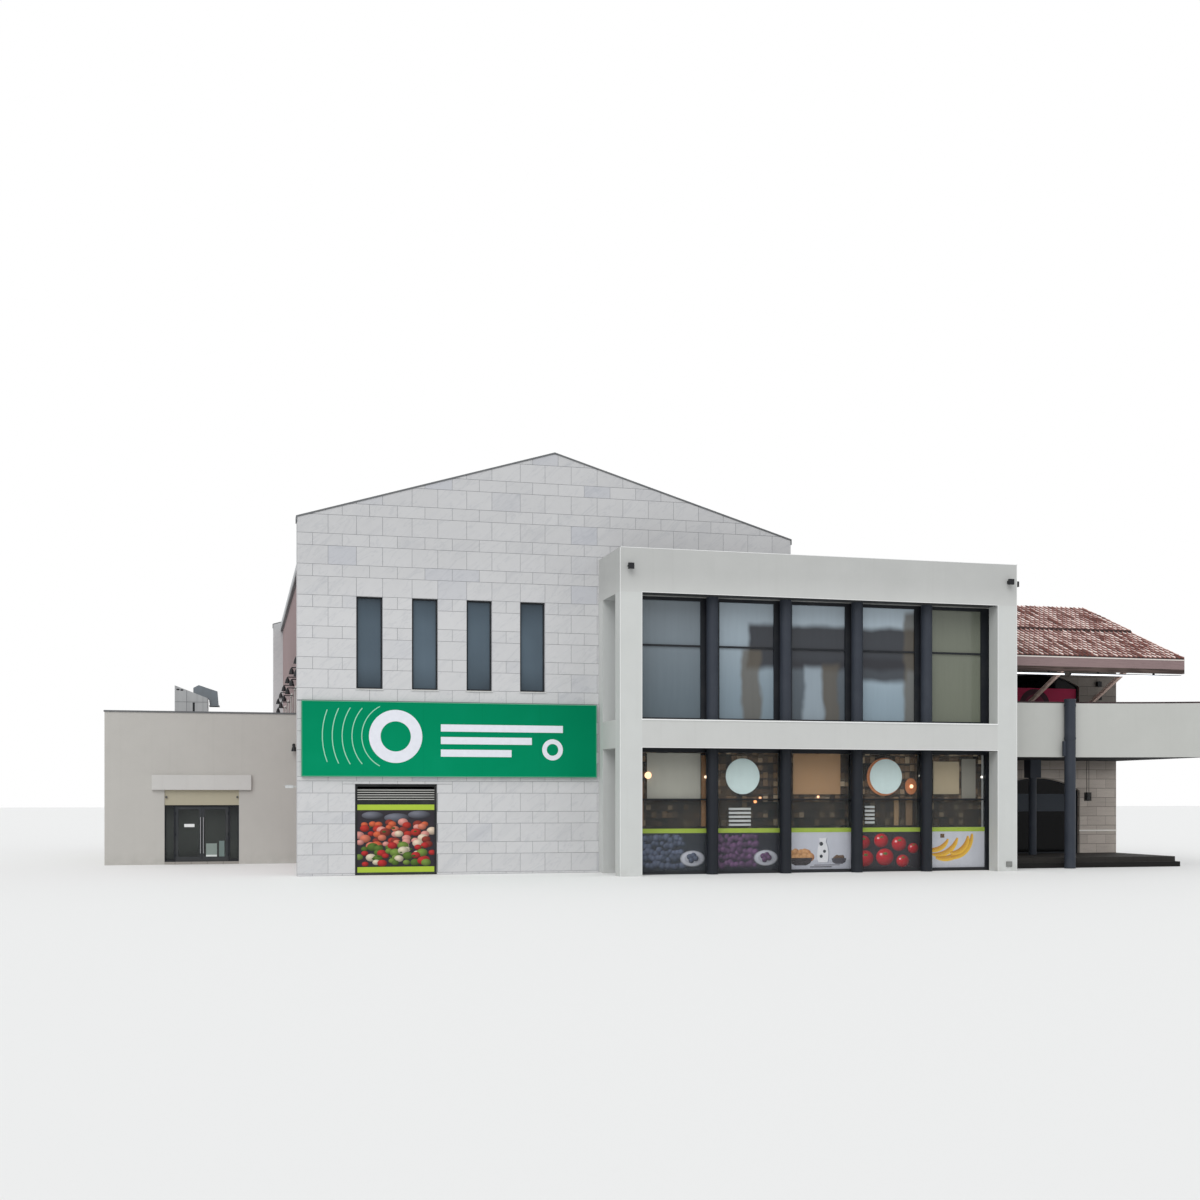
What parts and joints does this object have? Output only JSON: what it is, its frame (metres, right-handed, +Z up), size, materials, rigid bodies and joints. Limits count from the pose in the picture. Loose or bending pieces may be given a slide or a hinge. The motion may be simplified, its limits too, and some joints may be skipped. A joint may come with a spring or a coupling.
{
  "type": "shopping mall",
  "caption": "Two-storey shopping mall: stone-clad gabled hall, glazed portal front, low entrance wing with double doors and a tiled arcade with a curved balcony.",
  "frame": {"origin": "bottom centre of the building's bounding box, at ground level", "axes": "+X to the right along the front, +Y to the rear, +Z up"},
  "size_m": [39.21, 33.035, 14.37],
  "materials": {
    "marble": "honed pale grey slabs",
    "pink_render": "rough render",
    "white_render": "smooth render",
    "roof_sheet": "satin",
    "dark_metal": "satin",
    "slate_paint": "satin",
    "floor_stone": "polished",
    "dark_stone": "flamed",
    "beige_stone": "sawn slabs",
    "concrete": "plain",
    "sign_green": "gloss",
    "cream_panel": "satin",
    "poster": "printed",
    "glass": "clear",
    "steel": "brushed",
    "galvanised": "galvanised",
    "brown_wood": "weathered",
    "terracotta": "pan tiles"
  },
  "bodies": {
    "building": {"front_gable_wall": "marble", "front_gable_over_link": "marble", "front_gable_pier": "marble", "rear_gable_wall": "marble", "left_side_wall": "pink_render", "right_side_wall": "pink_render", "hall_roof_left": "roof_sheet", "hall_roof_right": "roof_sheet", "metal_trim": "dark_metal", "hall_floor": "floor_stone", "link_floor": "floor_stone", "wing_floor": "floor_stone", "upper_floors": "concrete", "sign_panel": "sign_green", "window_frames": "dark_metal", "window_glass": "glass", "shopfront_frame": "dark_metal", "poster_panels": "poster", "wall_lamps": "dark_metal", "portal_piers": "white_render", "portal_top_beam": "white_render", "portal_deck": "white_render", "portal_side_beams": "white_render", "portal_roof": "white_render", "round_columns": "slate_paint", "glazing_frames": "dark_metal", "return_frames": "dark_metal", "glazing_glass": "glass", "link_right_wall": "white_render", "link_roof": "concrete", "rear_walls": "white_render", "wing_front_walls": "white_render", "wing_wall_over_door": "white_render", "window_surrounds": "white_render", "security_camera": "white_render", "wing_side_wall": "white_render", "wing_roof": "concrete", "lintel_panel": "white_render", "name_board": "cream_panel", "entrance_frame": "dark_metal", "sidelight_glass": "glass", "plant_enclosure": "roof_sheet", "roof_duct": "galvanised", "arcade_platform": "dark_stone", "balcony_slab": "white_render", "balcony_parapet": "white_render", "balcony_handrail": "brown_wood", "arcade_ground_wall": "beige_stone", "arcade_upper_wall": "beige_stone", "party_wall": "white_render", "arcade_roof_front": "terracotta", "arcade_roof_rear": "terracotta", "eave_beam": "brown_wood", "eave_struts": "brown_wood"},
    "door_left": {"door_leaf_left": "dark_metal", "door_glass_left": "glass", "door_pulls_left": "steel"},
    "door_right": {"door_leaf_right": "dark_metal", "door_glass_right": "glass", "door_pulls_right": "steel"}
  },
  "joints": [
    {"name": "door_left_hinge", "type": "hinge", "parent": "building", "child": "door_left", "pos_m": [-16.976, -3.7125, 0.11], "axis": [0, 0, -1], "range_deg": [0, 90]},
    {"name": "door_right_hinge", "type": "hinge", "parent": "building", "child": "door_right", "pos_m": [-15.014, -3.7125, 0.11], "axis": [0, 0, 1], "range_deg": [0, 90]}
  ]
}
